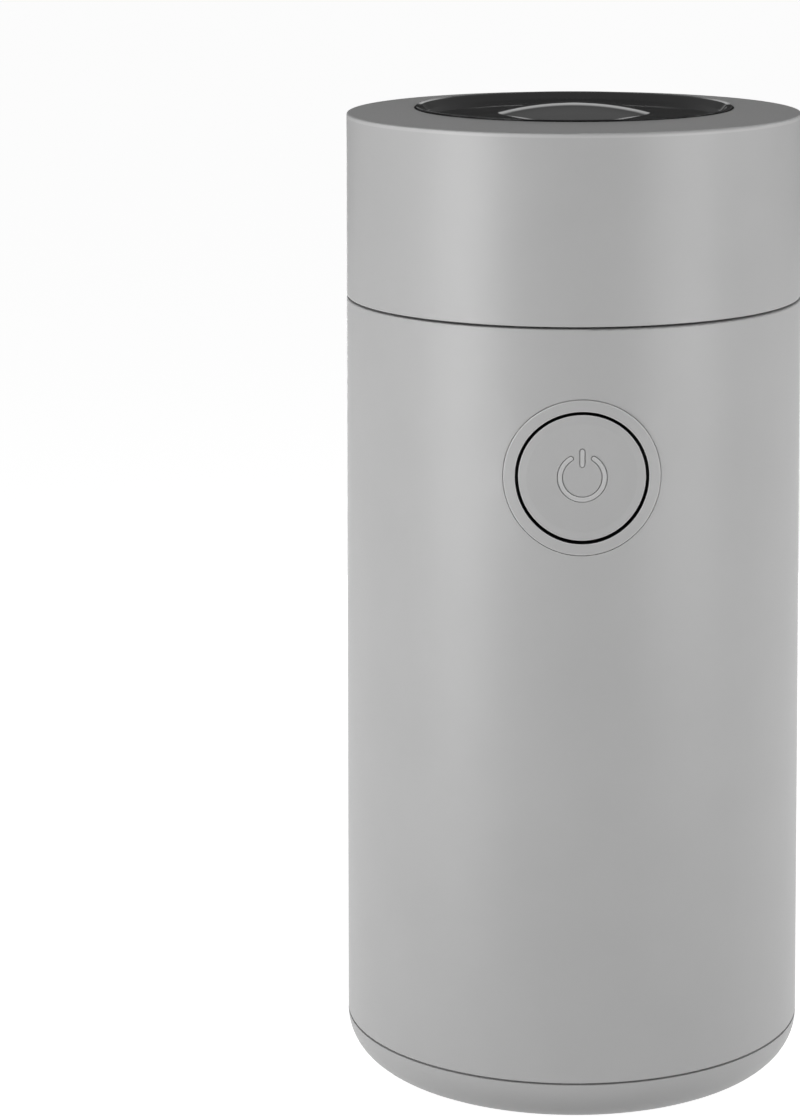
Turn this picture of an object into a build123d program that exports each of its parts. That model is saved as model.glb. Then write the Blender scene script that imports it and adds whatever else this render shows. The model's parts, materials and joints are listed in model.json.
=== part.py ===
from build123d import *
from math import acos, asin, cos, degrees, hypot, radians, sin, sqrt, tan
import os

# Electric spice grinder: a round motor housing with a steel bowl, a lift-off lid and a push button.
# Millimetres, +Z up, origin under the middle of the feet, button towards -Y, cord inlet towards +Y.

os.makedirs("parts", exist_ok=True)

# ---- clearances ----
snug = 0.02  # pressed, bonded or screwed seats inside one body
running = 0.05  # shaft in its bearing, plunger in its guide
slip = 0.1  # pieces that are located by each other
apart = 0.3  # soft or curved faces on bodies that move apart
touch = 0.05  # faces of two bodies that push on each other

# ---- outer form ----
outer_r = 43.9  # at the height of the button
draft = 0.39  # degrees by which the outside widens towards its foot
wall = 2.4
foot_stand = 1.0
base_round = 8.7
base_seam = 0.3
floor_t = 2.4
shell_len = 143.05
lid_seam = 0.4
lid_len = 35.0
crown = 0.85
edge_soft = 0.45
seam_soft = 0.25

inner_r = outer_r - wall
base_z = foot_stand
rim_z = base_z + base_round
shell_z = rim_z + base_seam
shell_top = shell_z + shell_len
lid_z = shell_top + lid_seam
lid_edge = lid_z + lid_len
crest = lid_edge + crown

# ---- bowl and its carrier ----
bowl_room = 10.4  # ring of space between bowl and housing, for the button and the interlock
bowl_t = 0.7
bowl_depth = 40.0
bowl_corner = 10.0
bowl_flange = 2.3
gasket_t = 0.9
sleeve_gap = 0.4
sleeve_t = 2.0
deck_t = 3.0
deck_drop = 0.45
rim_drop = 0.6
plate_t = 4.0
seal_flange_t = 3.3

bowl_r = inner_r - bowl_room
bowl_out = bowl_r + bowl_t
flange_r = bowl_out + bowl_flange
sleeve_in = bowl_out + sleeve_gap
sleeve_out = max(sleeve_in + sleeve_t, flange_r + slip)
deck_z = shell_top - deck_drop
deck_low = deck_z - deck_t
rim_top = deck_z - rim_drop
gasket_top = rim_top - bowl_t
gasket_low = gasket_top - gasket_t
floor_z = rim_top - bowl_depth
plate_top = floor_z - bowl_t - seal_flange_t
plate_low = plate_top - plate_t

# ---- screws: shank radius, head radius, head height ----
small_shank = 1.25
small_head = 2.6
small_head_t = 1.6
long_shank = 1.95
long_head = 3.5
long_head_t = 2.8
pilot_spare = 2.0  # hole left beyond a screw's tip

# ---- fixing points ----
ring_play = 0.25  # bosses and guides stand this far off both walls of the ring of space
boss_bite = 0.4
boss_len = 12.0
boss_pilot = 10.0
boss_count = 4
base_screw_in = 10.1  # base screws inward of the housing's inside
base_screw_angles = (0, 180, 270)
base_boss_r = 3.6
base_boss_len = 16.0
base_pilot = 12.0
base_screw_seat = 3.0  # screw seats below the seam
web_t = 2.4
foot_edge = 0.3  # foot inward of the base's quarter round
foot_r = 5.0
foot_recess = 1.2
foot_count = 4

boss_r = (inner_r - sleeve_out) / 2 - ring_play
boss_ring = inner_r + boss_bite - boss_r
base_screw_ring = inner_r - base_screw_in
foot_ring = outer_r - base_round - foot_edge - foot_r

# ---- motor ----
shaft_r = 3.0
stack_x, stack_y = 54.0, 46.0
stack_round, window_round = 3.0, 2.0
stack_drop = 24.0  # top of the stack below the carrier's plate
pole_bore = 15.0
air_gap = 0.45
motor_screw_in = 8.0  # screws inward of the stack's ends
motor_pilot = 10.0
leg_r = 4.5
leg_len = 6.0
bracket_t = 3.0
mount_t = 4.0
bearing_r, bearing_w = 9.5, 6.0
bearing_boss_r = 12.0
bearing_lip = 2.0
bearing_cover = 0.6
winding_len = 5.5
comm_r, comm_len, comm_gap = 9.5, 11.0, 1.5
comm_clear = 2.0
low_plate_t = 4.0
fan_h, fan_gap = 8.0, 2.0
fan_clear = 1.9  # between the fan and the bosses of the base screws
fan_lift = 14.6  # fan above the base's floor
fan_hub, fan_blade_t, fan_disc_t, fan_count, fan_sweep = 7.0, 1.2, 1.2, 9, 18
shaft_tail = 1.5
yoke_x, yoke_y = 5.0, 7.0
shoe_t, shoe_angle = 3.5, 52
neck_y = 14.0
coil_w = 4.0
slot_count, slot_w, slot_in = 12, 2.0, 7.5
brush_y, brush_h, brush_len = 5.0, 6.0, 9.0
holder_out, holder_y, holder_h = 27.0, 8.4, 12.0
holder_gap = 1.5  # holder clear of the commutator
cap_t = 1.2
brush_coil_r, brush_wire, brush_turns = 1.9, 0.5, 5

base_floor = base_z + floor_t
fan_r = base_screw_ring - base_boss_r - fan_clear
fan_z = base_floor + fan_lift
fan_top = fan_z + fan_h
shaft_low = fan_z - shaft_tail
low_bearing_z = fan_top + fan_gap
low_bearing_top = low_bearing_z + bearing_w
low_plate_top = low_bearing_top + bearing_lip
low_plate_z = low_plate_top - low_plate_t
comm_z = low_plate_top + comm_clear
comm_top = comm_z + comm_len
stack_z = comm_top + comm_gap + winding_len
stack_top = plate_low - stack_drop
stack_len = stack_top - stack_z
motor_screw_x = stack_x / 2 - motor_screw_in
motor_screw_y = (stack_y - yoke_y) / 2
core_r = pole_bore - air_gap
bracket_z = stack_top + leg_len
bracket_top = bracket_z + bracket_t
mount_z = bracket_top
post_z = mount_z + mount_t
top_bearing_z = bracket_z + bearing_lip

# ---- blade ----
collar_r = 5.5
collar_gap = 0.4  # running gap between the collar and the shaft's seal
seal_stand = 0.6  # lip of the seal above the bowl's floor
seal_wall = 1.1
seal_flange = 3.0
blade_lift = 4.5
blade_t = 1.5
blade_gap = 5.2  # between the blade's tips and the bowl
blade_w = 10.0
blade_flat = 13.0
blade_rise = 4.5
nut_h = 3.6
nut_cap = 0.8  # nut above the shaft's end

blade_reach = bowl_r - blade_gap
seal_r = collar_r + seal_wall
seal_top = floor_z + seal_stand
collar_z = seal_top + collar_gap
blade_z = floor_z + blade_lift
nut_z = blade_z + blade_t
shaft_top = nut_z + nut_h - nut_cap

# ---- push button ----
button_drop = 27.27  # button's centre below the top of the housing
button_r = 11.7
button_gap = 0.5
bezel_band = 2.2
bezel_tube_t = 1.4
bezel_proud = 0.25
bezel_sink = 0.6  # flange let into the housing
bezel_line = 0.12  # open line round the flange
rim_soft = 0.2
press = 2.0
dish_r = 10.1
dish_curve = 90.0  # dish's own round sideways, about twice the housing's
cap_wall = 1.3
cap_depth, cap_len = 2.8, 4.9  # floor of the cap's hollow and back of its skirt, from the housing's face
button_coil_r, button_wire, button_turns = 3.0, 0.6, 3.5
slider_t = 1.2
slider_lip = 0.7
slider_hole = 4.0
pad_t = 0.8
arm_half = 4.5
symbol_r, symbol_t = 4.08, 0.78
symbol_proud, symbol_sink = 0.08, 0.3
symbol_line = 0.16  # open line round the symbol
symbol_gap = 31
bar_low, bar_high = 1.95, 5.25

button_z = shell_top - button_drop
bezel_in = button_r + button_gap
bezel_r = bezel_in + bezel_band
bezel_tube = bezel_in + bezel_tube_t
slider_r = bezel_in + slider_lip
cap_floor = outer_r - cap_depth
cap_back = outer_r - cap_len
slider_back = cap_back - slider_t
face_mid = dish_curve - outer_r
face_side = sqrt(outer_r**2 - dish_r**2)
waist_r = hypot(face_mid + face_side, dish_r)
waist_curve = (dish_r**2 + (dish_curve - waist_r) ** 2) / (2 * (dish_curve - waist_r))

# ---- switches ----
switch_x, switch_y, switch_h = 18.0, 10.0, 6.5
switch_drop = 12.0  # switch below the carrier's plate
arm_up = 1.0  # button's arm ends this far above the switch's underside
plunger_x, plunger_t, plunger_in = 3.0, 1.6, 2.6
peg_r, peg_x, peg_shoulder = 1.5, 6.0, 2.6
peg_end = 1.6
retainer_lip, retainer_t = 1.4, 0.8
plunger_left = 0.65  # what still stands out with the button pressed
plunger_spare = 0.4  # depth left under a pressed plunger

switch_front = slider_back - touch - press - plunger_left
switch_mid = switch_front - switch_y / 2
switch_low = plate_low - switch_drop
switch_top = switch_low + switch_h
arm_low = switch_low + arm_up

# ---- lid interlock ----
lock_r = 1.8
lock_rise = 1.5
peg_depth = 5.0  # the lid's peg reaches this far below the top of the housing
guide_len = 21.0
guide_drop = 12.0
collar_t = 1.5
lock_collar_in = 0.4  # collar inward of the guide's outside
lock_coil_r, lock_wire, lock_turns = 2.5, 0.5, 6
seat_t = 3.0
lock_switch_x, lock_switch_y, lock_switch_h = 16.0, 6.4, 9.5
lock_tab_t, lock_tab_in, lock_tab_x = 2.4, 1.1, 8.0
lock_tab_tail = 1.5  # tab below the switch
lock_screw_x, lock_screw_up = 5.0, 3.0
lock_plunger_in = 0.8  # plunger's middle inward of the rod's
lock_plunger_out = 0.5  # plunger stands out of its switch
rod_tail = 6.0  # rod below the carrier's plate

lock_y = (sleeve_out + inner_r) / 2
guide_r = (inner_r - sleeve_out) / 2 - ring_play
lock_collar_r = guide_r - lock_collar_in
lock_tab_out = sleeve_out - lock_tab_in
peg_low = shell_top - peg_depth
rod_top = peg_low - touch
guide_top = shell_top - guide_drop
guide_low = guide_top - guide_len
collar_top = guide_low - lock_rise - slip
collar_low = collar_top - collar_t
rod_low = plate_low - rod_tail
lock_switch_top = rod_low - touch - lock_plunger_out
lock_switch_z = lock_switch_top - lock_switch_h
lock_plunger_y = lock_y - lock_plunger_in
lock_screw_z = lock_switch_z + lock_screw_up
lock_head_y = lock_tab_out + lock_switch_y - small_head_t

# ---- lid ----
lid_wall = 2.2
rim_clear = 0.85  # cup inside the bowl's mouth
rim_gap = 0.25
cup_t = 2.0
bead_w, bead_slope = 0.85, 1.1
bead_up = 0.35  # outer edge of the bead above the lid's ring
bead_fall = 0.12  # inner edge of the bead below the outer one
bead_soft = 0.12
crest_soft = 0.15
window_drop = 1.0
window_t = 2.2
dome_r = 14.6
dome_rise = 1.85
skirt_depth = 6.15
lid_collar_t = 2.4
lid_collar_len = 17.8
cup_flange = 2.95
cup_flange_t = 2.2
ring_t = 2.0
ring_up = 0.2
seal_gap, seal_edge = 1.05, 0.4
lid_boss_r = 3.4
lid_boss_angles = (30, 150, 270)
lid_pilot = 12.0
lid_head_t = 1.2

ring_low = lid_z + ring_up
ring_top = ring_low + ring_t
rim_r = bowl_r - rim_clear
bead_in = rim_r - bead_w
window_r = bead_in - bead_slope
flange_out = rim_r + cup_flange
seal_in, seal_out = rim_r + seal_gap, flange_r - seal_edge
recess_r = rim_r + rim_gap
flat_z = crest - window_drop
cup_in = rim_r - cup_t
skirt_z = lid_z - skirt_depth
lid_collar_r = recess_r + lid_collar_t
lid_collar_z = crest - lid_collar_len
lid_boss_ring = (lid_collar_r + outer_r - lid_wall) / 2
dome_curve = (dome_r**2 + dome_rise**2) / (2 * dome_rise)

# ---- cord inlet ----
gland_r = 6.0
gland_bore = 3.4
gland_flange = 7.6
gland_in = 5.6  # gland's length inward of the housing's inside
gland_flange_t = 2.0
gland_lift = 0.7  # between the base cover's spigot and the gland's flange
cord_r = 3.25
clamp_in, clamp_half, clamp_post_r = 9.1, 8.5, 3.0
clamp_w, clamp_t = 6.0, 5.1
clamp_pilot = 10.0

# ---- base cover ----
spigot_h = 4.5
spigot_t = 1.8
inner_soft = 4.0
vent_count, vent_len, vent_w = 8, 12.0, 2.6
vent_gap = 3.0  # between a vent and a foot
base_screw_boss = 4.6

vent_ring = foot_ring - foot_r - vent_gap - vent_len / 2
spigot_r = inner_r - slip
spigot_in = spigot_r - spigot_t
spigot_top = rim_z + spigot_h
gland_z = spigot_top + gland_lift + gland_flange
gland_back = inner_r - gland_in
clamp_y = inner_r - clamp_in
boss_gap_z = shell_z - slip
clamp_top = gland_z + clamp_t

# ---- circuit board ----
board_x, board_t, board_len = 30.8, 1.6, 28.0
board_in = 11.6  # board inward of the housing's inside
tongue_edge = 2.5
upright_w, upright_y, upright_h = 3.4, 5.0, 16.0
cap_x, cap_y, cap_h = 13.0, 6.0, 13.0
terminal_x, terminal_y, terminal_h = 10.0, 5.5, 8.0
terminal_bore, terminal_pitch = 1.5, 5.0
fuse_r, fuse_len = 2.0, 9.0
parts_up = 6.0  # capacitor and terminal above the board's foot
parts_gap = 1.0

board_y = inner_r - board_in
board_z = low_plate_top + slip
part_y = board_y + board_t
part_z = board_z + parts_up

CENTRED_LOW = (Align.CENTER, Align.CENTER, Align.MIN)


def disc(radius, low, high, at=(0, 0), mode=Mode.ADD):
    """Upright cylinder from one height to another."""
    with Locations((at[0], at[1], low)):
        Cylinder(radius, high - low, align=CENTRED_LOW, mode=mode)


def discs(radius, low, high, ring, angles, mode=Mode.ADD):
    """The same upright cylinder at each angle of a ring."""
    for angle in angles:
        at = (ring * cos(radians(angle)), ring * sin(radians(angle)))
        disc(radius, low, high, at, mode)


def block(x, y, low, high, at=(0, 0), mode=Mode.ADD):
    """Upright box from one height to another, centred on a point."""
    with Locations((at[0], at[1], low)):
        Box(x, y, high - low, align=CENTRED_LOW, mode=mode)


def bolt(radius, near, far, x, z, mode=Mode.ADD):
    """Cylinder along Y between two depths, near being the smaller y."""
    with Locations(Location((x, far, z), (90, 0, 0))):
        Cylinder(radius, far - near, align=CENTRED_LOW, mode=mode)


def finish(part, name):
    """Names a finished piece and writes it."""
    part.part.label = name
    export_step(part.part, f"parts/{name}.step")


def motor_corners():
    return [(x, y) for x in (-motor_screw_x, motor_screw_x) for y in (-motor_screw_y, motor_screw_y)]


def side_r(height):
    """Radius of the drafted outside at a height."""
    return outer_r + (button_z - height) * tan(radians(draft))


base_r = side_r(rim_z)  # widest place of the outside
pilot_r = small_shank + running
boss_angles = [45 + 360 * i / boss_count for i in range(boss_count)]
foot_angles = [45 + 360 * i / foot_count for i in range(foot_count)]

# ---- housing ----
with BuildPart() as body_shell:
    with BuildSketch(Plane.XZ):
        with BuildLine():
            Polyline(
                (inner_r, shell_z),
                (side_r(shell_z), shell_z),
                (side_r(shell_top), shell_top),
                (inner_r, shell_top),
                close=True,
            )
        make_face()
    revolve(axis=Axis.Z)
    fillet(body_shell.edges().filter_by(GeomType.CIRCLE).sort_by(SortBy.RADIUS)[-2:], seam_soft)
    discs(boss_r, deck_low - boss_len, deck_low, boss_ring, boss_angles)
    discs(base_boss_r, shell_z, shell_z + base_boss_len, base_screw_ring, base_screw_angles)
    web_len = inner_r + boss_bite - base_screw_ring
    for angle in base_screw_angles:
        with Locations(Location((0, 0, shell_z), (0, 0, angle))):
            with Locations((base_screw_ring + web_len / 2, 0, 0)):
                Box(web_len, web_t, base_boss_len, align=CENTRED_LOW)
    discs(pilot_r, deck_low - boss_pilot, deck_low, boss_ring, boss_angles, Mode.SUBTRACT)
    pilot_top = shell_z + base_pilot
    discs(pilot_r, shell_z, pilot_top, base_screw_ring, base_screw_angles, Mode.SUBTRACT)
    bolt(bezel_tube + slip, -outer_r - 1, -boss_ring, 0, button_z, Mode.SUBTRACT)
    with BuildSketch(Plane.XZ.offset(boss_ring)):
        with Locations((0, button_z)):
            Circle(bezel_r + bezel_line)
    pocket = extrude(amount=outer_r, mode=Mode.PRIVATE)
    with Locations((0, 0, button_z)):
        core = Cylinder(outer_r - bezel_sink, 4 * bezel_r, mode=Mode.PRIVATE)
    add(pocket - core, mode=Mode.SUBTRACT)
    bolt(gland_r + snug, boss_ring, base_r + 1, 0, gland_z, Mode.SUBTRACT)
finish(body_shell, "body_shell")

# ---- base cover with vents, foot recesses and cord posts ----
with BuildPart() as base_cover:
    with BuildSketch(Plane.XZ):
        with BuildLine():
            flat_r = base_r - base_round
            Line((0, base_z), (flat_r, base_z))
            CenterArc((flat_r, rim_z), base_round, -90, 90)
            Polyline(
                (base_r, rim_z),
                (spigot_r, rim_z),
                (spigot_r, spigot_top),
                (spigot_in, spigot_top),
                (spigot_in, base_floor + inner_soft),
                (spigot_in - inner_soft, base_floor),
                (0, base_floor),
                (0, base_z),
            )
        make_face()
    revolve(axis=Axis.Z)
    discs(base_screw_boss, base_z, boss_gap_z, base_screw_ring, base_screw_angles)
    for side in (-1, 1):
        disc(clamp_post_r, base_z, gland_z, (side * clamp_half, clamp_y))
    block(2 * cord_r, 3, base_z, gland_z - cord_r - slip, (0, clamp_y))
    for angle in base_screw_angles:
        with Locations(Location((0, 0, boss_gap_z), (0, 0, angle))):
            with Locations((inner_r, 0, 0)):
                Box(4 * spigot_t, web_t + 2 * slip, spigot_h + 1, align=CENTRED_LOW, mode=Mode.SUBTRACT)
    seat = rim_z - base_screw_seat
    discs(small_head + apart, base_z, seat, base_screw_ring, base_screw_angles, Mode.SUBTRACT)
    discs(small_shank + apart, base_z, shell_z, base_screw_ring, base_screw_angles, Mode.SUBTRACT)
    discs(foot_r + slip, base_z, base_z + foot_recess, foot_ring, foot_angles, Mode.SUBTRACT)
    for side in (-1, 1):
        disc(pilot_r, gland_z - clamp_pilot, gland_z, (side * clamp_half, clamp_y), Mode.SUBTRACT)
    with BuildSketch(Plane.XY.offset(base_z)):
        with PolarLocations(vent_ring, vent_count):
            SlotOverall(vent_len, vent_w)
    extrude(amount=floor_t, mode=Mode.SUBTRACT)
finish(base_cover, "base_cover")

with BuildPart() as rubber_feet:
    discs(foot_r, 0, base_z + foot_recess, foot_ring, foot_angles)
    fillet(rubber_feet.edges().group_by(Axis.Z)[0], 0.5)
finish(rubber_feet, "rubber_feet")


def pan_screws(low, high, head_t, head, shank, places, upward):
    """Pan head screws at each place; the head is below the shank when the screw points upward."""
    for place in places:
        if upward:
            disc(head, low - head_t, low, place)
            disc(shank, low - head_t, high, place)
        else:
            disc(head, high, high + head_t, place)
            disc(shank, low, high + head_t, place)


def ring_places(ring, angles):
    return [(ring * cos(radians(a)), ring * sin(radians(a))) for a in angles]


with BuildPart() as base_screws:
    places = ring_places(base_screw_ring, base_screw_angles)
    seat, tip = rim_z - base_screw_seat, shell_z + base_pilot - pilot_spare
    pan_screws(seat, tip, small_head_t, small_head, small_shank, places, True)
finish(base_screws, "base_screws")

# ---- cord inlet ----
with BuildPart() as cord_gland:
    bolt(gland_r, gland_back, base_r + 1, 0, gland_z)
    flange_far = sqrt(inner_r**2 - gland_flange**2) - slip
    bolt(gland_flange, flange_far - gland_flange_t, flange_far, 0, gland_z)
    Cylinder(base_r, 4 * gland_z, mode=Mode.INTERSECT)
    bolt(gland_bore, gland_back - 1, base_r + 1, 0, gland_z, Mode.SUBTRACT)
finish(cord_gland, "cord_gland")

with BuildPart() as cord_clamp:
    block(2 * (clamp_half + clamp_post_r), clamp_w, gland_z, clamp_top, (0, clamp_y))
    fillet(cord_clamp.edges().filter_by(Axis.Z), 2.0)
    bolt(cord_r + slip, clamp_y - clamp_w, clamp_y + clamp_w, 0, gland_z, Mode.SUBTRACT)
    for side in (-1, 1):
        disc(small_shank + slip, gland_z - 1, clamp_top + 1, (side * clamp_half, clamp_y), Mode.SUBTRACT)
finish(cord_clamp, "cord_clamp")

with BuildPart() as cord_clamp_screws:
    places = [(side * clamp_half, clamp_y) for side in (-1, 1)]
    tip = gland_z - clamp_pilot + pilot_spare
    pan_screws(tip, clamp_top, small_head_t, small_head, small_shank, places, False)
finish(cord_clamp_screws, "cord_clamp_screws")

# ---- bowl carrier: deck, sleeve, plate, motor posts, switch pegs, interlock guide ----
with BuildPart() as bowl_carrier:
    with BuildSketch(Plane.XZ):
        with BuildLine():
            Polyline(
                (seal_r, plate_low),
                (sleeve_out, plate_low),
                (sleeve_out, deck_low),
                (inner_r - slip, deck_low),
                (inner_r - slip, deck_z),
                (sleeve_out, deck_z),
                (sleeve_out, gasket_low),
                (sleeve_in, gasket_low),
                (sleeve_in, plate_top),
                (seal_r, plate_top),
                close=True,
            )
        make_face()
    revolve(axis=Axis.Z)
    for corner in motor_corners():
        disc(leg_r, post_z, plate_low + snug, corner)
        disc(long_shank + running, post_z, post_z + motor_pilot, corner, Mode.SUBTRACT)
    # spring pad behind the button
    bolt(slider_hole - 0.4, -sleeve_out - pad_t, -sleeve_in - 0.5, 0, button_z)
    # pegs that carry the button's switch
    for side in (-1, 1):
        disc(peg_shoulder, switch_top, plate_low + snug, (side * peg_x, -switch_mid))
        disc(peg_r, switch_low - peg_end, plate_low, (side * peg_x, -switch_mid))
    # guide and spring seat of the interlock rod
    root_y = sleeve_in + sleeve_t / 2
    for low, high, radius in ((guide_low, guide_top, guide_r), (plate_low, plate_low + seat_t, guide_r)):
        disc(radius, low, high, (0, lock_y))
        block(2 * radius, lock_y - root_y, low, high, (0, (lock_y + root_y) / 2))
    disc(lock_r + slip, plate_low - 1, guide_top + 1, (0, lock_y), Mode.SUBTRACT)
    disc(lock_r + apart + slip, guide_top + 1, deck_z + 1, (0, lock_y), Mode.SUBTRACT)
    # tab for the interlock's switch
    tab_y = lock_tab_out - lock_tab_t / 2
    block(2 * lock_tab_x, lock_tab_t, lock_switch_z - lock_tab_tail, plate_low + snug, (0, tab_y))
    for side in (-1, 1):
        x = side * lock_screw_x
        bolt(pilot_r, lock_tab_out - 2 * lock_tab_t, lock_tab_out + 1, x, lock_screw_z, Mode.SUBTRACT)
    discs(small_shank + slip, deck_low - 1, deck_z + 1, boss_ring, boss_angles, Mode.SUBTRACT)
    discs(small_head + slip, deck_z - small_head_t, deck_z + 1, boss_ring, boss_angles, Mode.SUBTRACT)
finish(bowl_carrier, "bowl_carrier")

with BuildPart() as carrier_screws:
    places = ring_places(boss_ring, boss_angles)
    tip, seat = deck_low - boss_pilot + pilot_spare, deck_z - small_head_t
    pan_screws(tip, seat, small_head_t, small_head, small_shank, places, False)
finish(carrier_screws, "carrier_screws")

# ---- steel bowl ----
with BuildPart() as grinding_bowl:
    with BuildSketch(Plane.XZ):
        with BuildLine():
            corner_r = bowl_r - bowl_corner
            corner_z = floor_z + bowl_corner
            Line((seal_r, floor_z), (corner_r, floor_z))
            CenterArc((corner_r, corner_z), bowl_corner, -90, 90)
            Polyline((bowl_r, corner_z), (bowl_r, rim_top), (flange_r, rim_top), (flange_r, gasket_top))
            Polyline((flange_r, gasket_top), (bowl_out, gasket_top), (bowl_out, corner_z))
            CenterArc((corner_r, corner_z), bowl_corner + bowl_t, -90, 90)
            Polyline((corner_r, floor_z - bowl_t), (seal_r, floor_z - bowl_t), (seal_r, floor_z))
        make_face()
    revolve(axis=Axis.Z)
finish(grinding_bowl, "grinding_bowl")

with BuildPart() as bowl_gasket:
    disc(flange_r, gasket_low, gasket_top)
    disc(bowl_out + snug, gasket_low, gasket_top, mode=Mode.SUBTRACT)
finish(bowl_gasket, "bowl_gasket")

with BuildPart() as shaft_seal:
    disc(seal_r - snug, plate_low, seal_top)
    disc(seal_r + seal_flange, plate_top, floor_z - bowl_t)
    disc(shaft_r + running, plate_low - 1, seal_top + 1, mode=Mode.SUBTRACT)
finish(shaft_seal, "shaft_seal")



def outer_face(part, radius):
    """The face of a piece that lies on a cylinder of this radius."""
    round_faces = part.faces().filter_by(GeomType.CYLINDER)
    return round_faces.sort_by(lambda face: abs(face.radius - radius))[0]


def power_strokes(stroke_w):
    """Sketch of the power symbol behind the cap's face: an open ring and a bar, both with round ends."""
    with BuildSketch(Plane.XZ.offset(cap_floor)) as strokes:
        with BuildLine():
            CenterArc((0, button_z), symbol_r, 90 + symbol_gap, 360 - 2 * symbol_gap)
            offset(amount=stroke_w / 2)
        make_face()
        with Locations((0, button_z + (bar_low + bar_high) / 2)):
            SlotOverall(bar_high - bar_low + stroke_w - symbol_t, stroke_w, rotation=90)
    return strokes.sketch


symbol_sketch = power_strokes(symbol_t)
groove_sketch = power_strokes(symbol_t + 2 * symbol_line)

# ---- push button ----
with BuildPart() as button_bezel:
    bolt(bezel_r, -outer_r - 2, -cap_back - slip, 0, button_z)
    with Locations((0, 0, button_z)):
        Cylinder(outer_r + bezel_proud, 4 * bezel_r, mode=Mode.INTERSECT)
        step = Cylinder(outer_r - bezel_sink + snug, 4 * bezel_r, mode=Mode.PRIVATE)
    with BuildSketch(Plane.XZ.offset(cap_back - 1)):
        with Locations((0, button_z)):
            Circle(bezel_r + 1)
            Circle(bezel_tube, mode=Mode.SUBTRACT)
    ring = extrude(amount=outer_r, mode=Mode.PRIVATE)
    add(ring & step, mode=Mode.SUBTRACT)
    bolt(bezel_in, -outer_r - 3, -cap_back + 1, 0, button_z, Mode.SUBTRACT)
    fillet(outer_face(button_bezel, outer_r + bezel_proud).edges(), rim_soft)
finish(button_bezel, "button_bezel")


def dish_body(reach):
    """Solid behind the dish, round sideways and hollow upright, which meets the cap's face in a circle."""
    with BuildPart() as spool:
        with BuildSketch(Plane.XZ):
            with BuildLine():
                half = degrees(asin((button_r + button_gap) / waist_curve))
                waist = CenterArc((waist_r + reach + waist_curve, 0), waist_curve, 180 - half, 2 * half)
                Polyline(waist @ 0, (0, (waist @ 0).Y), (0, (waist @ 1).Y), waist @ 1)
            make_face()
        revolve(axis=Axis.Z)
    return spool.part.locate(Location((0, face_mid, button_z)))


with BuildPart() as button_cap:
    bolt(button_r, -outer_r - 2, -cap_back, 0, button_z)
    with Locations((0, 0, button_z)):
        Cylinder(outer_r, 4 * button_r, mode=Mode.INTERSECT)
    fillet(outer_face(button_cap, outer_r).edges(), rim_soft)
    add(dish_body(0), mode=Mode.INTERSECT)
    groove = extrude(groove_sketch, amount=outer_r - cap_floor, mode=Mode.PRIVATE)
    add(groove - dish_body(-symbol_sink), mode=Mode.SUBTRACT)
    bolt(button_r - cap_wall, -cap_floor, -cap_back + 1, 0, button_z, Mode.SUBTRACT)
finish(button_cap, "button_cap")

with BuildPart() as power_symbol:
    extrude(symbol_sketch, amount=outer_r - cap_floor)
    add(dish_body(symbol_proud), mode=Mode.INTERSECT)
    add(dish_body(snug - symbol_sink), mode=Mode.SUBTRACT)
finish(power_symbol, "power_symbol")

with BuildPart() as button_slider:
    bolt(slider_r, -cap_back, -slider_back, 0, button_z)
    block(2 * arm_half, slider_t, arm_low, button_z, (0, -cap_back + slider_t / 2))
    bolt(slider_hole, -cap_back - 1, -slider_back + 1, 0, button_z, Mode.SUBTRACT)
finish(button_slider, "button_slider")


def coil(mean_r, wire, turns, seat, direction, length):
    """Helical spring of round wire that fills the length from its seat along a direction."""
    height = length - 2 * wire
    foot = Vector(*seat) + Vector(*direction) * wire
    with BuildPart() as spring:
        with BuildLine() as path:
            Helix(pitch=height / turns, height=height, radius=mean_r, center=foot, direction=direction)
        with BuildSketch(Plane(origin=path.line @ 0, z_dir=path.line % 0)) as section:
            Circle(wire / 2)
        sweep(section.sketch, path=path.line, is_frenet=True)
    return spring


pad_y = sleeve_out + pad_t
button_seat = (0, -pad_y, button_z)
button_spring = coil(button_coil_r, button_wire, button_turns, button_seat, (0, -1, 0), cap_floor - pad_y)
finish(button_spring, "button_spring")

# ---- switch worked by the button ----
with BuildPart() as power_switch:
    block(switch_x, switch_y, switch_low, switch_top, (0, -switch_mid))
    fillet(power_switch.edges().filter_by(Axis.Z), 0.8)
    slot_len = plunger_in + press + plunger_spare
    slot_y = -switch_front + slot_len / 2 - 0.5
    slot_low = switch_low + (switch_h - plunger_t) / 2 - slip
    slot_top = slot_low + plunger_t + 2 * slip
    block(plunger_x + 2 * slip, slot_len + 1, slot_low, slot_top, (0, slot_y), Mode.SUBTRACT)
    for side in (-1, 1):
        disc(peg_r + slip, switch_low - 1, switch_top + 1, (side * peg_x, -switch_mid), Mode.SUBTRACT)
finish(power_switch, "power_switch")

with BuildPart() as power_switch_plunger:
    reach = switch_front - plunger_in
    tip = slider_back - touch
    plunger_y = -(reach + tip) / 2
    block(plunger_x, tip - reach, slot_low + slip, slot_low + slip + plunger_t, (0, plunger_y))
finish(power_switch_plunger, "power_switch_plunger")

with BuildPart() as switch_retainers:
    for side in (-1, 1):
        disc(peg_r + retainer_lip, switch_low - retainer_t, switch_low, (side * peg_x, -switch_mid))
        disc(peg_r + snug, switch_low - 1, switch_low + 1, (side * peg_x, -switch_mid), Mode.SUBTRACT)
finish(switch_retainers, "switch_retainers")

# ---- lid interlock ----
with BuildPart() as interlock_rod:
    disc(lock_r, rod_low, rod_top, (0, lock_y))
    disc(lock_collar_r, collar_low, collar_top, (0, lock_y))
finish(interlock_rod, "interlock_rod")

spring_seat = plate_low + seat_t
lock_seat = (0, lock_y, spring_seat)
interlock_spring = coil(lock_coil_r, lock_wire, lock_turns, lock_seat, (0, 0, 1), collar_low - spring_seat)
finish(interlock_spring, "interlock_spring")

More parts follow.
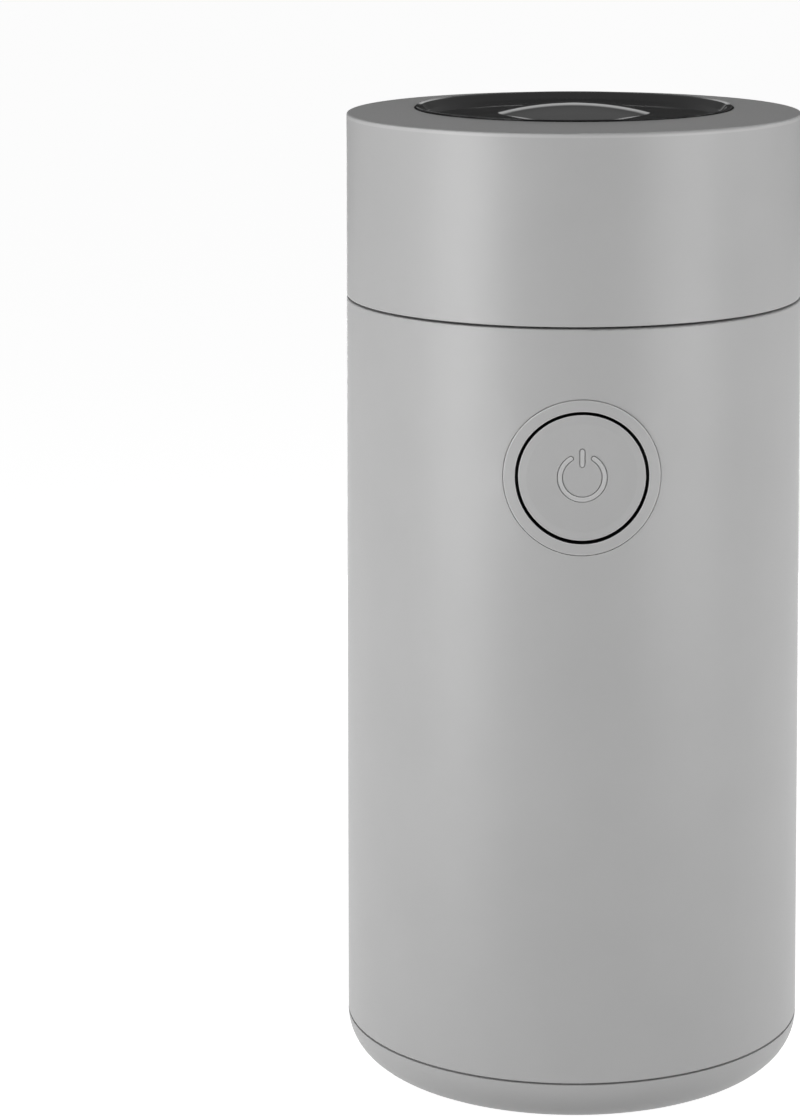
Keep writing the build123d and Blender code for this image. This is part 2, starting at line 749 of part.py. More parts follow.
with BuildPart() as interlock_switch:
    lock_mid = lock_tab_out + lock_switch_y / 2
    block(lock_switch_x, lock_switch_y, lock_switch_z, lock_switch_top, (0, lock_mid))
    well = plunger_in + lock_rise + plunger_spare
    well_low = lock_switch_top - well
    well_at = (0, lock_plunger_y)
    block(plunger_x + 2 * slip, plunger_t + 2 * slip, well_low, lock_switch_top + 1, well_at, Mode.SUBTRACT)
    for side in (-1, 1):
        x = side * lock_screw_x
        bolt(small_shank + slip, lock_tab_out - 1, inner_r, x, lock_screw_z, Mode.SUBTRACT)
        bolt(small_head + slip, lock_head_y, inner_r, x, lock_screw_z, Mode.SUBTRACT)
finish(interlock_switch, "interlock_switch")

with BuildPart() as interlock_plunger:
    block(plunger_x, plunger_t, lock_switch_top - plunger_in, rod_low - touch, (0, lock_plunger_y))
finish(interlock_plunger, "interlock_plunger")

with BuildPart() as interlock_screws:
    for side in (-1, 1):
        x = side * lock_screw_x
        bolt(small_shank, lock_tab_out - lock_tab_t, lock_head_y, x, lock_screw_z)
        bolt(small_head, lock_head_y, lock_head_y + small_head_t, x, lock_screw_z)
finish(interlock_screws, "interlock_screws")

# ---- motor: stator ----
with BuildPart() as stator_core:
    with BuildSketch(Plane.XY.offset(stack_z)):
        RectangleRounded(stack_x, stack_y, stack_round)
        RectangleRounded(stack_x - 2 * yoke_x, stack_y - 2 * yoke_y, window_round, mode=Mode.SUBTRACT)
        Rectangle(stack_x - 2 * yoke_x + 1, neck_y)
        shoe_r = pole_bore + shoe_t
        shoe_x = shoe_r * cos(radians(shoe_angle))
        shoe_y = shoe_r * sin(radians(shoe_angle))
        for side in (-1, 1):
            with BuildLine():
                ThreePointArc((side * shoe_x, -shoe_y), (side * shoe_r, 0), (side * shoe_x, shoe_y))
                Polyline((side * shoe_x, shoe_y), (0, 0), (side * shoe_x, -shoe_y))
            make_face()
        Circle(pole_bore, mode=Mode.SUBTRACT)
        with GridLocations(2 * motor_screw_x, 2 * motor_screw_y, 2, 2):
            Circle(long_shank + slip, mode=Mode.SUBTRACT)
    extrude(amount=stack_len)
finish(stator_core, "stator_core")

coil_x0 = pole_bore + shoe_t + apart
coil_x1 = stack_x / 2 - yoke_x - 2 * slip
with BuildPart() as field_coils:
    coil_y = neck_y + 2 * (slip + coil_w)
    for side in (-1, 1):
        mid_x = side * (coil_x0 + coil_x1) / 2
        block(coil_x1 - coil_x0, coil_y, stack_z - coil_w, stack_top + coil_w, (mid_x, 0))
    fillet(field_coils.edges().filter_by(Axis.X), coil_w * 0.8)
    for side in (-1, 1):
        mid_x = side * (coil_x0 + coil_x1) / 2
        block(coil_x1, neck_y + 2 * slip, stack_z - slip, stack_top + slip, (mid_x, 0), Mode.SUBTRACT)
finish(field_coils, "field_coils")

# ---- motor: brackets and bearings ----
with BuildPart() as upper_bracket:
    with BuildSketch(Plane.XY.offset(bracket_z)):
        RectangleRounded(2 * (motor_screw_x + leg_r), 2 * (motor_screw_y + leg_r), leg_r)
    extrude(amount=bracket_t)
    disc(bearing_boss_r, bracket_z, top_bearing_z + bearing_w + bearing_cover)
    disc(bearing_r + snug, top_bearing_z, top_bearing_z + bearing_w + 1, mode=Mode.SUBTRACT)
    disc(shaft_r + 2, bracket_z - 1, top_bearing_z + 1, mode=Mode.SUBTRACT)
    for corner in motor_corners():
        disc(leg_r, stack_top, bracket_z, corner)
        disc(long_shank + slip, stack_top, bracket_top, corner, Mode.SUBTRACT)
finish(upper_bracket, "upper_bracket")

with BuildPart() as lower_bracket:
    tongue = board_y + board_t + tongue_edge
    with BuildSketch(Plane.XY.offset(low_plate_z)):
        RectangleRounded(2 * (motor_screw_x + leg_r), 2 * (motor_screw_y + leg_r), leg_r)
        with Locations((0, tongue / 2)):
            Rectangle(board_x + 2 * upright_w - 2, tongue)
    extrude(amount=low_plate_t)
    disc(bearing_boss_r, low_bearing_z, low_plate_top)
    disc(bearing_r + snug, low_bearing_z - 1, low_bearing_top, mode=Mode.SUBTRACT)
    disc(shaft_r + 2, low_bearing_top - 1, low_plate_top + 1, mode=Mode.SUBTRACT)
    for corner in motor_corners():
        disc(leg_r, low_plate_top, stack_z, corner)
        disc(long_shank + slip, low_plate_z, stack_z, corner, Mode.SUBTRACT)
    for side in (-1, 1):
        mid_x = side * (board_x / 2 + upright_w / 2 - 1)
        block(upright_w, upright_y, low_plate_top, low_plate_top + upright_h, (mid_x, board_y + board_t / 2))
    groove_at = (0, board_y + board_t / 2)
    groove_x, groove_y = board_x + 2 * slip, board_t + 2 * slip
    block(groove_x, groove_y, board_z - slip, board_z + upright_h, groove_at, Mode.SUBTRACT)
finish(lower_bracket, "lower_bracket")

for name, low in (("top_bearing", top_bearing_z), ("bottom_bearing", low_bearing_z)):
    with BuildPart() as bearing:
        disc(bearing_r, low, low + bearing_w)
        disc(shaft_r + running, low, low + bearing_w, mode=Mode.SUBTRACT)
        for groove in (low, low + bearing_w - 0.5):
            disc(bearing_r - 1.6, groove, groove + 0.5, mode=Mode.SUBTRACT)
            disc(shaft_r + 1.6, groove, groove + 0.5)
            disc(shaft_r + running, groove, groove + 0.5, mode=Mode.SUBTRACT)
    finish(bearing, name)

with BuildPart() as motor_mounts:
    for corner in motor_corners():
        disc(leg_r + 0.5, mount_z, post_z, corner)
        disc(long_shank + slip, mount_z, post_z, corner, Mode.SUBTRACT)
finish(motor_mounts, "motor_mounts")

with BuildPart() as motor_screws:
    tip = post_z + motor_pilot - pilot_spare
    pan_screws(low_plate_z, tip, long_head_t, long_head, long_shank, motor_corners(), True)
finish(motor_screws, "motor_screws")

# ---- motor: brush gear ----
holder_in = comm_r + holder_gap
brush_z = comm_z + comm_len / 2
brush_tip = comm_r + slip
with BuildPart() as brush_holders:
    for side in (-1, 1):
        mid_x = side * (holder_in + holder_out) / 2
        block(holder_out - holder_in, holder_y, low_plate_top, low_plate_top + holder_h, (mid_x, 0))
    block(3 * holder_out, brush_y + 2 * slip, brush_z - brush_h / 2 - slip, brush_z + brush_h / 2 + slip,
          mode=Mode.SUBTRACT)
finish(brush_holders, "brush_holders")

with BuildPart() as carbon_brushes:
    for side in (-1, 1):
        mid_x = side * (brush_tip + brush_len / 2)
        block(brush_len, brush_y, brush_z - brush_h / 2, brush_z + brush_h / 2, (mid_x, 0))
finish(carbon_brushes, "carbon_brushes")

brush_back = brush_tip + brush_len
spring_len = holder_out - cap_t - brush_back
brush_coils = [
    coil(brush_coil_r, brush_wire, brush_turns, (side * brush_back, 0, brush_z), (side, 0, 0), spring_len)
    for side in (-1, 1)
]
with BuildPart() as brush_springs:
    for brush_coil in brush_coils:
        add(brush_coil.part)
finish(brush_springs, "brush_springs")

with BuildPart() as brush_caps:
    for side in (-1, 1):
        mid_x = side * (holder_out - cap_t / 2)
        block(cap_t, brush_y, brush_z - brush_h / 2, brush_z + brush_h / 2, (mid_x, 0))
finish(brush_caps, "brush_caps")

# ---- circuit board at the back of the motor ----
with BuildPart() as terminal_board:
    block(board_x, board_t, board_z, board_z + board_len, (0, board_y + board_t / 2))
finish(terminal_board, "terminal_board")

with BuildPart() as suppressor_capacitor:
    block(cap_x, cap_y, part_z, part_z + cap_h, (-cap_x / 2, part_y + cap_y / 2))
    fillet(suppressor_capacitor.edges().filter_by(Axis.Y), 0.8)
finish(suppressor_capacitor, "suppressor_capacitor")

with BuildPart() as wire_terminal:
    terminal_mid = terminal_x / 2 + 2 * parts_gap
    block(terminal_x, terminal_y, part_z, part_z + terminal_h, (terminal_mid, part_y + terminal_y / 2))
    for side in (-1, 1):
        x = terminal_mid + side * terminal_pitch / 2
        bolt(terminal_bore, part_y + terminal_y / 2, part_y + terminal_y + 1, x, part_z + terminal_h / 2,
             Mode.SUBTRACT)
finish(wire_terminal, "wire_terminal")

with BuildPart() as thermal_fuse:
    fuse_z = part_z + cap_h + parts_gap - fuse_r / 2
    with Locations(Location((2 * parts_gap, part_y + fuse_r, fuse_z), (0, 90, 0))):
        Cylinder(fuse_r, fuse_len, align=CENTRED_LOW)
finish(thermal_fuse, "thermal_fuse")

# ---- rotor ----
with BuildPart() as motor_shaft:
    disc(shaft_r, shaft_low, shaft_top)
    chamfer(motor_shaft.edges().filter_by(GeomType.CIRCLE), 0.4)
finish(motor_shaft, "motor_shaft")

with BuildPart() as armature_core:
    with BuildSketch(Plane.XY.offset(stack_z)):
        Circle(core_r)
        Circle(shaft_r + snug, mode=Mode.SUBTRACT)
        with PolarLocations((slot_in + core_r) / 2, slot_count):
            Rectangle(core_r - slot_in + 1, slot_w, mode=Mode.SUBTRACT)
    extrude(amount=stack_len)
finish(armature_core, "armature_core")

bar_r = core_r - 1.3
with BuildPart() as armature_windings:
    with BuildSketch(Plane.XY.offset(stack_z - winding_len)):
        with PolarLocations((slot_in + bar_r) / 2, slot_count):
            Rectangle(bar_r - slot_in - 0.4, slot_w - 2 * slip)
    extrude(amount=stack_len + 2 * winding_len)
    for low in (stack_z - winding_len, stack_top + slip):
        disc(bar_r, low, low + winding_len - slip)
        disc(shaft_r + 2, low, low + winding_len - slip, mode=Mode.SUBTRACT)
finish(armature_windings, "armature_windings")

with BuildPart() as commutator:
    with BuildSketch(Plane.XY.offset(comm_z)):
        Circle(comm_r)
        Circle(shaft_r + snug, mode=Mode.SUBTRACT)
        with PolarLocations(comm_r, slot_count):
            Rectangle(1.6, 0.5, mode=Mode.SUBTRACT)
    extrude(amount=comm_len)
finish(commutator, "commutator")

with BuildPart() as cooling_fan:
    disc(fan_r, fan_top - fan_disc_t, fan_top)
    with BuildSketch(Plane.XY.offset(fan_z)):
        with PolarLocations((fan_r + fan_hub) / 2, fan_count):
            Rectangle(fan_r - fan_hub, fan_blade_t, rotation=fan_sweep)
        Circle(fan_hub)
    extrude(amount=fan_h - fan_disc_t / 2)
    disc(fan_r, fan_z, fan_top, mode=Mode.INTERSECT)
    disc(shaft_r + snug, fan_z - 1, fan_top + 1, mode=Mode.SUBTRACT)
finish(cooling_fan, "cooling_fan")

with BuildPart() as blade_collar:
    disc(collar_r, collar_z, blade_z)
    disc(shaft_r + snug, collar_z, blade_z, mode=Mode.SUBTRACT)
finish(blade_collar, "blade_collar")

with BuildPart() as grinding_blade:
    with BuildSketch(Plane.XZ):
        with BuildLine():
            Polyline(
                (-blade_reach, blade_z + blade_rise),
                (-blade_flat, blade_z),
                (blade_flat, blade_z),
                (blade_reach, blade_z + blade_rise),
                (blade_reach, blade_z + blade_rise + blade_t),
                (blade_flat, blade_z + blade_t),
                (-blade_flat, blade_z + blade_t),
                (-blade_reach, blade_z + blade_rise + blade_t),
                close=True,
            )
        make_face()
    extrude(amount=blade_w, both=True)
    with BuildSketch(Plane.XY.offset(blade_z - 1)):
        with BuildLine():
            Polyline(
                (-blade_reach, -blade_w / 2),
                (-blade_flat, -blade_w / 2),
                (blade_flat, -blade_w / 2),
                (blade_reach, blade_w / 6),
                (blade_reach, blade_w / 2),
                (blade_flat, blade_w / 2),
                (-blade_flat, blade_w / 2),
                (-blade_reach, -blade_w / 6),
                close=True,
            )
        make_face()
        Circle(collar_r + 1)
    extrude(amount=blade_rise + blade_t + 2, mode=Mode.INTERSECT)
    disc(shaft_r + snug, blade_z - 1, blade_z + blade_t + 1, mode=Mode.SUBTRACT)
finish(grinding_blade, "grinding_blade")

with BuildPart() as blade_nut:
    with BuildSketch(Plane.XY.offset(nut_z)):
        RegularPolygon(collar_r, 6)
    extrude(amount=nut_h)
    chamfer(blade_nut.edges().group_by(Axis.Z)[-1], 0.5)
    disc(shaft_r + snug, nut_z - 1, shaft_top + slip, mode=Mode.SUBTRACT)
finish(blade_nut, "blade_nut")

# ---- lid ----
with BuildPart() as lid_shell:
    with BuildSketch(Plane.XZ) as lid_profile:
        with BuildLine():
            lid_in = outer_r - lid_wall
            Polyline(
                (side_r(lid_z), lid_z),
                (side_r(lid_edge), lid_edge),
                (recess_r, crest),
                (recess_r, lid_collar_z),
                (lid_collar_r, lid_collar_z),
                (lid_collar_r, crest - lid_wall - crown / 4),
                (lid_in, lid_edge - lid_wall),
                (lid_in, lid_z),
                close=True,
            )
        make_face()
        fillet(lid_profile.vertices().group_by(Axis.Y)[-2], edge_soft)
        fillet(lid_profile.vertices().group_by(Axis.Y)[-1], crest_soft)
    revolve(axis=Axis.Z)
    lid_foot = lid_shell.edges().filter_by(GeomType.CIRCLE).group_by(Axis.Z)[0]
    fillet(lid_foot.sort_by(SortBy.RADIUS)[-1], seam_soft)
    discs(lid_boss_r, ring_top, lid_edge - lid_wall / 2, lid_boss_ring, lid_boss_angles)
    pilot_top = ring_top + lid_pilot
    discs(pilot_r, ring_top, pilot_top, lid_boss_ring, lid_boss_angles, Mode.SUBTRACT)
finish(lid_shell, "lid_shell")

with BuildPart() as lid_cup:
    dome_mid = flat_z + dome_rise - dome_curve
    dome_angle = degrees(asin(dome_r / dome_curve))
    under_r = dome_curve - window_t
    under_angle = degrees(acos((flat_z - window_t - dome_mid) / under_r))
    with BuildSketch(Plane.XZ) as cup_profile:
        with BuildLine():
            CenterArc((0, dome_mid), dome_curve, 90 - dome_angle, dome_angle)
            Polyline(
                (dome_r, flat_z),
                (window_r, flat_z),
                (bead_in, crest + bead_up - bead_fall),
                (rim_r, crest + bead_up),
                (rim_r, lid_collar_z),
                (flange_out, lid_collar_z),
                (flange_out, lid_collar_z - cup_flange_t),
                (rim_r, lid_collar_z - cup_flange_t),
                (rim_r, skirt_z),
                (cup_in, skirt_z),
                (cup_in, flat_z - window_t),
                (under_r * sin(radians(under_angle)), flat_z - window_t),
            )
            CenterArc((0, dome_mid), under_r, 90 - under_angle, under_angle)
            Line((0, dome_mid + under_r), (0, dome_mid + dome_curve))
        make_face()
        fillet(cup_profile.vertices().group_by(Axis.Y)[-2], bead_soft)
    revolve(axis=Axis.Z)
finish(lid_cup, "lid_cup")

with BuildPart() as lid_inner_ring:
    disc(lid_in - slip, ring_low, ring_top)
    disc(rim_r + slip, ring_low, ring_top, mode=Mode.SUBTRACT)
    disc(lock_r, peg_low, ring_top, (0, lock_y))
    discs(small_shank + slip, ring_low, ring_top, lid_boss_ring, lid_boss_angles, Mode.SUBTRACT)
    discs(small_head + slip, ring_low, ring_low + lid_head_t, lid_boss_ring, lid_boss_angles, Mode.SUBTRACT)
finish(lid_inner_ring, "lid_inner_ring")

with BuildPart() as lid_seal:
    disc(seal_out, rim_top + apart, ring_low)
    disc(seal_in, rim_top + apart, ring_low, mode=Mode.SUBTRACT)
    fillet(lid_seal.edges().group_by(Axis.Z)[0], 0.3)
finish(lid_seal, "lid_seal")

with BuildPart() as lid_screws:
    places = ring_places(lid_boss_ring, lid_boss_angles)
    tip = ring_top + lid_pilot - pilot_spare
    pan_screws(ring_low + lid_head_t, tip, lid_head_t, small_head, small_shank, places, True)
finish(lid_screws, "lid_screws")
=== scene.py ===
import json
from math import cos, radians, sin

import bpy
from mathutils import Matrix, Vector


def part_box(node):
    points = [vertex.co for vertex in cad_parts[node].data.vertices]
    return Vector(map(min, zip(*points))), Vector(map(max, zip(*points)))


# Electric spice grinder, dressed over its CAD frame. Metres, +Z up, button towards -Y.

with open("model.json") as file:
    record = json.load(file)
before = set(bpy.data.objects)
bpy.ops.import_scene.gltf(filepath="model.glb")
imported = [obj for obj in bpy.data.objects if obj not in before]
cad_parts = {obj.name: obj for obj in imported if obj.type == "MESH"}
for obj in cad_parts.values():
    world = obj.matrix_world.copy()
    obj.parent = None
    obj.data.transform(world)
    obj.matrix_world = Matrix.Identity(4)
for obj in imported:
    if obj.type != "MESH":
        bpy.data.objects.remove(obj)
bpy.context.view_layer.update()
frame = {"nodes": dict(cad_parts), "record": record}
nodes = frame["nodes"]

# ---- camera, fitted to the seams, rims and edges of the photograph (800 x 1119 pixels) ----
IMAGE_W, IMAGE_H = 800, 1119
FOCAL_PX = 3341.5
CENTRE_X, CENTRE_Y = 506.19, 393.32  # pixel that the camera points at
CAMERA_RING = 0.6389  # from the object's axis
CAMERA_HEIGHT = 0.2477
CAMERA_SIDE = 2.2603  # degrees round to the left of the button
CAMERA_YAW = -1.1661  # degrees that it turns to the right of the axis
CAMERA_PITCH = 10.1261  # degrees that it looks down
CAMERA_ROLL = -0.0511
SENSOR = 36.0
CLIP_NEAR, CLIP_FAR = 0.01, 20.0


def make_camera():
    """The camera stands a little left of the button and looks slightly down."""
    data = bpy.data.cameras.new("camera")
    data.sensor_width = SENSOR
    data.lens = FOCAL_PX / IMAGE_H * SENSOR
    data.shift_x = (IMAGE_W / 2 - CENTRE_X) / IMAGE_H
    data.shift_y = -(IMAGE_H / 2 - CENTRE_Y) / IMAGE_H
    data.clip_start = CLIP_NEAR
    data.clip_end = CLIP_FAR
    camera = bpy.data.objects.new("camera", data)
    side = radians(CAMERA_SIDE)
    place = Vector((-CAMERA_RING * sin(side), -CAMERA_RING * cos(side), CAMERA_HEIGHT))
    heading = Matrix.Rotation(-radians(CAMERA_YAW + CAMERA_SIDE), 4, "Z")
    tilt = Matrix.Rotation(radians(90 - CAMERA_PITCH), 4, "X")
    roll = Matrix.Rotation(radians(CAMERA_ROLL), 4, "Z")
    camera.matrix_world = Matrix.Translation(place) @ heading @ tilt @ roll
    bpy.context.scene.collection.objects.link(camera)
    bpy.context.scene.camera = camera


# ---- node helpers ----
NOISE_LOW, NOISE_HIGH = 0.3, 0.7  # nearly all of a noise's values lie between these


def new_material(name):
    """An empty node material with its output and a Principled shader."""
    material = bpy.data.materials.new(name)
    material.use_nodes = True
    tree = material.node_tree
    tree.nodes.clear()
    output = tree.nodes.new("ShaderNodeOutputMaterial")
    shader = tree.nodes.new("ShaderNodeBsdfPrincipled")
    tree.links.new(shader.outputs["BSDF"], output.inputs["Surface"])
    return material, tree, shader


def find_node(tree, kind):
    """The first node of a kind."""
    return next(node for node in tree.nodes if node.bl_idname == kind)


def object_noise(tree, scale, detail=3.0, stretch=(1, 1, 1)):
    """Noise in the object's own metres; stretch squeezes it along an axis."""
    place = tree.nodes.new("ShaderNodeTexCoord")
    mapping = tree.nodes.new("ShaderNodeMapping")
    mapping.inputs["Scale"].default_value = stretch
    noise = tree.nodes.new("ShaderNodeTexNoise")
    noise.inputs["Scale"].default_value = scale
    noise.inputs["Detail"].default_value = detail
    tree.links.new(place.outputs["Object"], mapping.inputs["Vector"])
    tree.links.new(mapping.outputs["Vector"], noise.inputs["Vector"])
    return noise.outputs["Fac"]


def spread(tree, noise, low, high):
    """A noise turned into values from low to high."""
    ramp = tree.nodes.new("ShaderNodeMapRange")
    ramp.inputs["From Min"].default_value = NOISE_LOW
    ramp.inputs["From Max"].default_value = NOISE_HIGH
    ramp.inputs["To Min"].default_value = low
    ramp.inputs["To Max"].default_value = high
    tree.links.new(noise, ramp.inputs["Value"])
    return ramp.outputs["Result"]


def two_tone(tree, value, dark, light):
    """Blends two colours by a value."""
    mix = tree.nodes.new("ShaderNodeMix")
    mix.data_type = "RGBA"
    mix.inputs["A"].default_value = (*dark, 1)
    mix.inputs["B"].default_value = (*light, 1)
    tree.links.new(value, mix.inputs["Factor"])
    return mix.outputs["Result"]


def fill_ramp(ramp, stops):
    """Grey stops for a colour ramp."""
    for index, (place, level) in enumerate(stops):
        if index < 2:
            stop = ramp.color_ramp.elements[index]
            stop.position = place
        else:
            stop = ramp.color_ramp.elements.new(place)
        stop.color = (level, level, level, 1)


def steps(tree, value, low, high, stops):
    """A value between low and high turned into the level of the stop before it."""
    scale = tree.nodes.new("ShaderNodeMapRange")
    scale.inputs["From Min"].default_value = low
    scale.inputs["From Max"].default_value = high
    tree.links.new(value, scale.inputs["Value"])
    ramp = tree.nodes.new("ShaderNodeValToRGB")
    ramp.color_ramp.interpolation = "CONSTANT"
    fill_ramp(ramp, [((place - low) / (high - low), level) for place, level in stops])
    tree.links.new(scale.outputs["Result"], ramp.inputs["Fac"])
    return ramp.outputs["Color"]


def bump(tree, shader, height, strength, distance):
    """Raises a height field on the shader's normal."""
    node = tree.nodes.new("ShaderNodeBump")
    node.inputs["Strength"].default_value = strength
    node.inputs["Distance"].default_value = distance
    tree.links.new(height, node.inputs["Height"])
    tree.links.new(node.outputs["Normal"], shader.inputs["Normal"])


def multiply_colour(material, level):
    """Multiplies a material's colour by a level from its own nodes."""
    tree = material.node_tree
    shader = find_node(tree, "ShaderNodeBsdfPrincipled")
    product = tree.nodes.new("ShaderNodeMix")
    product.data_type = "RGBA"
    product.blend_type = "MULTIPLY"
    product.inputs["Factor"].default_value = 1.0
    tree.links.new(shader.inputs["Base Color"].links[0].from_socket, product.inputs["A"])
    tree.links.new(level, product.inputs["B"])
    tree.links.new(product.outputs["Result"], shader.inputs["Base Color"])


def shade(colour, factor):
    """A colour made darker or lighter."""
    return tuple(channel * factor for channel in colour)


# ---- moulded plastic and rubber ----
GREY = (0.42, 0.42, 0.42)
SATIN = 0.42  # roughness of the grey
CLOUD_SCALE, CLOUD = 60, 0.015
GRAIN_DETAIL, GRAIN_ROUGH, GRAIN_BUMP = 2.0, 0.03, 0.12


def moulded(name, colour, rough, grain=2600, depth=0.00002, specular=0.5):
    """Moulded or satin-painted plastic: faint cloud in the colour, fine grain in the surface."""
    material, tree, shader = new_material(name)
    cloud = spread(tree, object_noise(tree, CLOUD_SCALE), 0, 1)
    tone = two_tone(tree, cloud, shade(colour, 1 - CLOUD), shade(colour, 1 + CLOUD))
    tree.links.new(tone, shader.inputs["Base Color"])
    fine = object_noise(tree, grain, GRAIN_DETAIL)
    roughness = spread(tree, fine, rough - GRAIN_ROUGH, rough + GRAIN_ROUGH)
    tree.links.new(roughness, shader.inputs["Roughness"])
    shader.inputs["Specular IOR Level"].default_value = specular
    bump(tree, shader, fine, GRAIN_BUMP, depth)
    return material


# ---- the button's rings, by distance from its axis: black painted shade in the running gap, painted highlight lines beside it and at the bezel's outer edge; levels are shares of the lightest grey, the painted highlight ----
BUTTON_DULL = 0.82
BUTTON_GAP = 0.0005  # between the cap and the bezel
RIM_ROUND = 0.00007  # part of each rounded rim that lies in the gap's black painted shade
PAINTED_HIGHLIGHT_WIDTH = 0.00016  # width of the painted highlight line on each side of the gap
PAINTED_HIGHLIGHT_OUTSIDE = 0.00018  # and at the bezel's outer edge
RING_LOW, RING_HIGH = 0.0110, 0.0150
cap_low, cap_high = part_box("button_cap")
cap_edge = cap_high.x - RIM_ROUND
bezel_hole = cap_high.x + BUTTON_GAP + RIM_ROUND
bezel_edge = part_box("button_bezel")[1].x - PAINTED_HIGHLIGHT_OUTSIDE


def away_from_button(tree):
    """Distance from the push button's axis."""
    place = tree.nodes.new("ShaderNodeTexCoord")
    mapping = tree.nodes.new("ShaderNodeMapping")
    mapping.inputs["Location"].default_value = (0, 0, -(cap_low.z + cap_high.z) / 2)
    mapping.inputs["Scale"].default_value = (1, 0, 1)
    length = tree.nodes.new("ShaderNodeVectorMath")
    length.operation = "LENGTH"
    tree.links.new(place.outputs["Object"], mapping.inputs["Vector"])
    tree.links.new(mapping.outputs["Vector"], length.inputs[0])
    return length.outputs["Value"]


def button_plastic_with_painted_light(name):
    """The grey, with black painted shade in the running gap and painted highlight lines beside it and at
    the bezel's outer edge.
    """
    material = moulded(name, shade(GREY, 1 / BUTTON_DULL), SATIN)
    # black painted shade from the cap's edge to the bezel's hole; painted highlights just outside both and
    # from the bezel's edge outwards
    levels = (
        (RING_LOW, BUTTON_DULL),
        (cap_edge - PAINTED_HIGHLIGHT_WIDTH, 1.0),
        (cap_edge, 0.0),
        (bezel_hole, 1.0),
        (bezel_hole + PAINTED_HIGHLIGHT_WIDTH, BUTTON_DULL),
        (bezel_edge, 1.0),
    )
    tree = material.node_tree
    multiply_colour(material, steps(tree, away_from_button(tree), RING_LOW, RING_HIGH, levels))
    return material


# ---- the lid's top edge, with a painted highlight line under it; levels are shares of the highlight's grey ----
LID_DULL = 0.88
LID_LOW, LID_HIGH = 0.150, 0.190
LID_PAINTED_HIGHLIGHT = 0.00065  # height of the painted highlight line
LID_CROWN = 0.00104  # from the top of the painted highlight line to the top of the grey ring
lid_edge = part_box("lid_shell")[1].z - LID_CROWN


def lid_plastic_with_painted_highlight(name):
    """The grey, with a painted highlight line along the lid's top edge."""
    material = moulded(name, shade(GREY, 1 / LID_DULL), SATIN)
    tree = material.node_tree
    place = tree.nodes.new("ShaderNodeTexCoord")
    split = tree.nodes.new("ShaderNodeSeparateXYZ")
    tree.links.new(place.outputs["Object"], split.inputs[0])
    # the painted highlight line, lightest, just under the lid's edge; the plain grey elsewhere
    levels = ((LID_LOW, LID_DULL), (lid_edge - LID_PAINTED_HIGHLIGHT, 1.0), (lid_edge, LID_DULL))
    multiply_colour(material, steps(tree, split.outputs["Z"], LID_LOW, LID_HIGH, levels))
    return material


# ---- metal and the window ----
MARK_DETAIL, MARK_BUMP, MARK_DEPTH = 4.0, 0.15, 0.00002
HAZE_SCALE, HAZE_CLEAR, HAZE_DULL = 220, 0.03, 0.06
SMOKE_DARK, SMOKE_LIGHT = (0.013, 0.013, 0.0135), (0.017, 0.017, 0.0175)
WINDOW_IOR, WINDOW_CLEAR = 1.35, 0.25


def metal(name, colour, rough, stretch=(1, 1, 1), scale=400, marked=0.08):
    """Bare metal with drawn or turned marks across the stretch."""
    material, tree, shader = new_material(name)
    marks = object_noise(tree, scale, MARK_DETAIL, stretch)
    dark, light = shade(colour, 1 - marked), shade(colour, 1 + marked)
    tone = two_tone(tree, spread(tree, marks, 0, 1), dark, light)
    tree.links.new(tone, shader.inputs["Base Color"])
    tree.links.new(spread(tree, marks, rough - marked, rough + marked), shader.inputs["Roughness"])
    shader.inputs["Metallic"].default_value = 1.0
    bump(tree, shader, marks, MARK_BUMP, MARK_DEPTH)
    return material


def smoked(name):
    """Dark see-through plastic with a polished face and a trace of haze."""
    material, tree, shader = new_material(name)
    haze = object_noise(tree, HAZE_SCALE)
    tone = two_tone(tree, spread(tree, haze, 0, 1), SMOKE_DARK, SMOKE_LIGHT)
    tree.links.new(tone, shader.inputs["Base Color"])
    tree.links.new(spread(tree, haze, HAZE_CLEAR, HAZE_DULL), shader.inputs["Roughness"])
    shader.inputs["IOR"].default_value = WINDOW_IOR
    shader.inputs["Transmission Weight"].default_value = WINDOW_CLEAR
    return material


